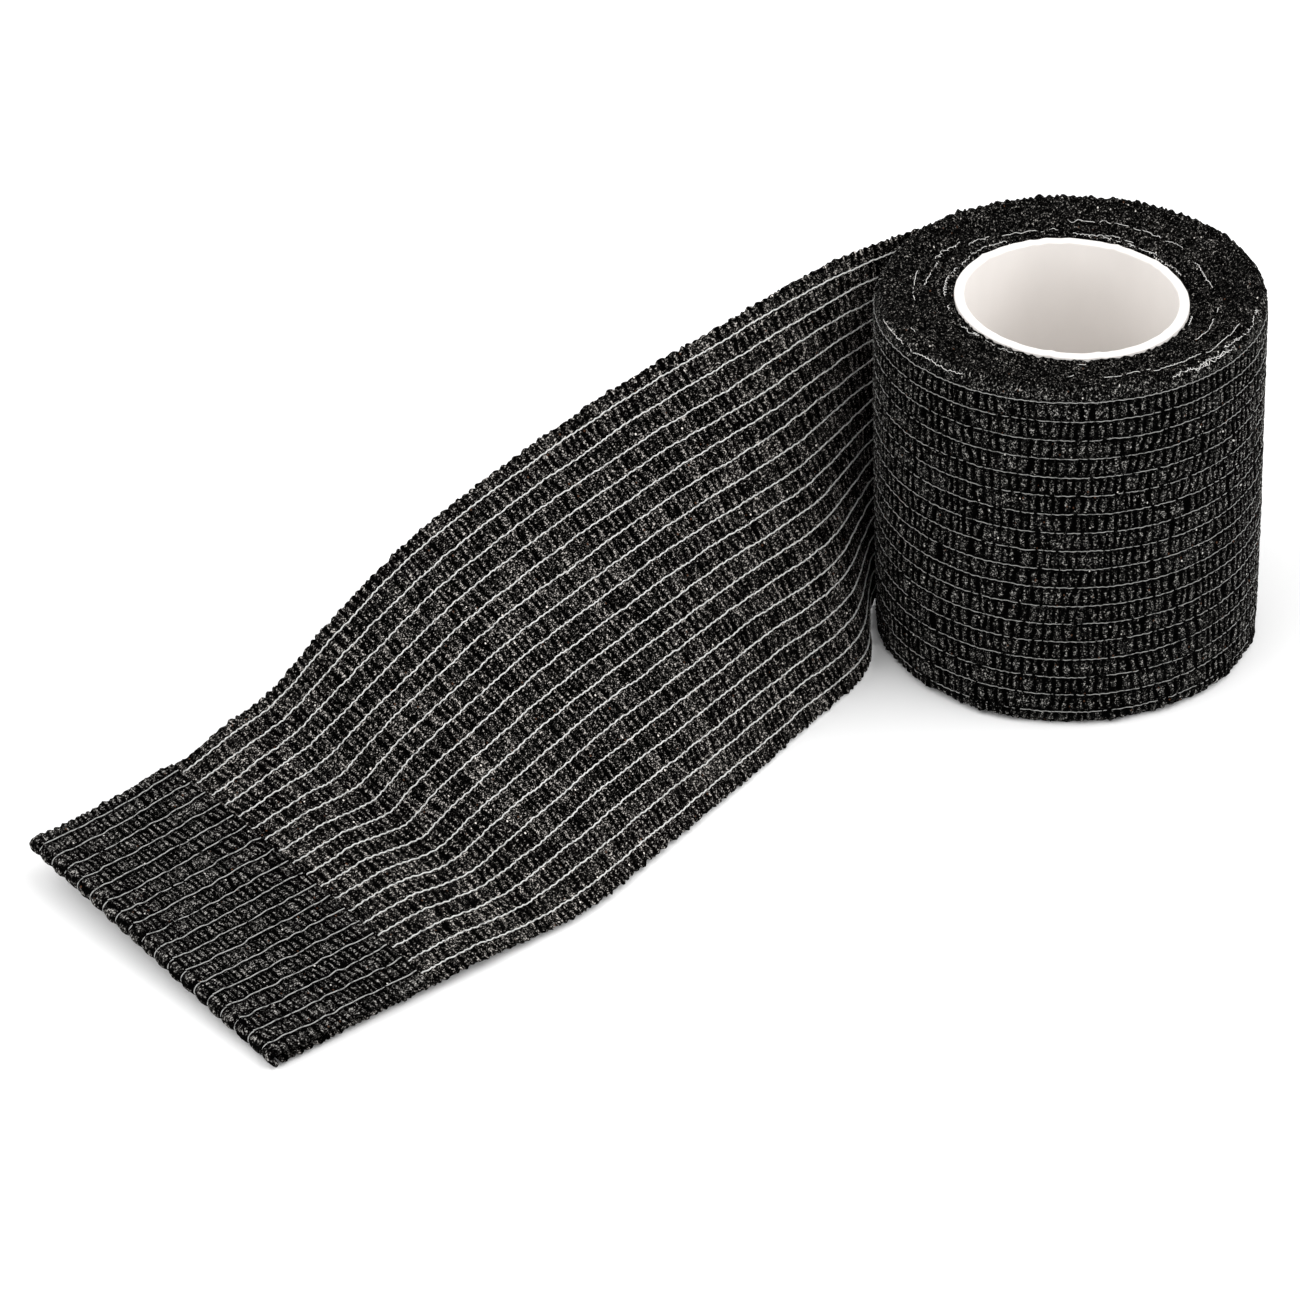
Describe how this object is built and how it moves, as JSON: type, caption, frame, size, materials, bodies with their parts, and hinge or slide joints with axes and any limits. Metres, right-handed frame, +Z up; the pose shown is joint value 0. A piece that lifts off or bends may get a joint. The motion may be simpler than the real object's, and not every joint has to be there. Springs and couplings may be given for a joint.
{
  "type": "self-adherent elastic tape roll",
  "caption": "Black elastic self-adherent tape wound on a white plastic tube core, standing on its end, with a pulled-off strip that twists flat and ends in a folded tab.",
  "frame": {"origin": "middle of the whole part's footprint, on the surface that the roll stands on", "axes": "+Z up along the roll's axis; +X from the folded tab towards the roll; -Y towards the side that the strip's inner face looks at"},
  "size_m": [0.1564, 0.1134, 0.0504],
  "materials": {
    "core_plastic": "satin",
    "tack_glue": "matte",
    "tape_fabric": "crinkled matte",
    "elastic_thread": "matte"
  },
  "bodies": {
    "roll": {"core_tube": "core_plastic", "core_tack_strip": "tack_glue", "wound_tape": "tape_fabric", "outer_turn": "tape_fabric", "roll_thread_01": "elastic_thread", "roll_thread_02": "elastic_thread", "roll_thread_03": "elastic_thread", "roll_thread_04": "elastic_thread", "roll_thread_05": "elastic_thread", "roll_thread_06": "elastic_thread", "roll_thread_07": "elastic_thread", "roll_thread_08": "elastic_thread", "roll_thread_09": "elastic_thread", "roll_thread_10": "elastic_thread", "roll_thread_11": "elastic_thread", "roll_thread_12": "elastic_thread", "roll_thread_13": "elastic_thread", "roll_thread_14": "elastic_thread", "roll_thread_15": "elastic_thread", "roll_thread_16": "elastic_thread", "roll_thread_17": "elastic_thread", "roll_thread_18": "elastic_thread"},
    "strip": {"strip_web": "tape_fabric", "strip_thread_01": "elastic_thread", "strip_thread_02": "elastic_thread", "strip_thread_03": "elastic_thread", "strip_thread_04": "elastic_thread", "strip_thread_05": "elastic_thread", "strip_thread_06": "elastic_thread", "strip_thread_07": "elastic_thread", "strip_thread_08": "elastic_thread", "strip_thread_09": "elastic_thread", "strip_thread_10": "elastic_thread", "strip_thread_11": "elastic_thread", "strip_thread_12": "elastic_thread", "strip_thread_13": "elastic_thread", "strip_thread_14": "elastic_thread", "strip_thread_15": "elastic_thread", "strip_thread_16": "elastic_thread", "strip_thread_17": "elastic_thread", "strip_thread_18": "elastic_thread"},
    "tab": {"tab_web": "tape_fabric", "tab_thread_01": "elastic_thread", "tab_thread_02": "elastic_thread", "tab_thread_03": "elastic_thread", "tab_thread_04": "elastic_thread", "tab_thread_05": "elastic_thread", "tab_thread_06": "elastic_thread", "tab_thread_07": "elastic_thread", "tab_thread_08": "elastic_thread", "tab_thread_09": "elastic_thread", "tab_thread_10": "elastic_thread", "tab_thread_11": "elastic_thread", "tab_thread_12": "elastic_thread", "tab_thread_13": "elastic_thread", "tab_thread_14": "elastic_thread", "tab_thread_15": "elastic_thread", "tab_thread_16": "elastic_thread", "tab_thread_17": "elastic_thread", "tab_thread_18": "elastic_thread"}
  },
  "joints": [
    {"name": "unwind", "type": "hinge", "parent": "roll", "child": "strip", "pos_m": [0.05308, 0.03147, 0], "axis": [0, 0, 1], "continuous": true},
    {"name": "tab_fold", "type": "hinge", "parent": "strip", "child": "tab", "pos_m": [-0.04643, -0.05611, 0.00135], "axis": [0.6155, -0.7843, -0.0774], "range_deg": [0, 170]}
  ]
}
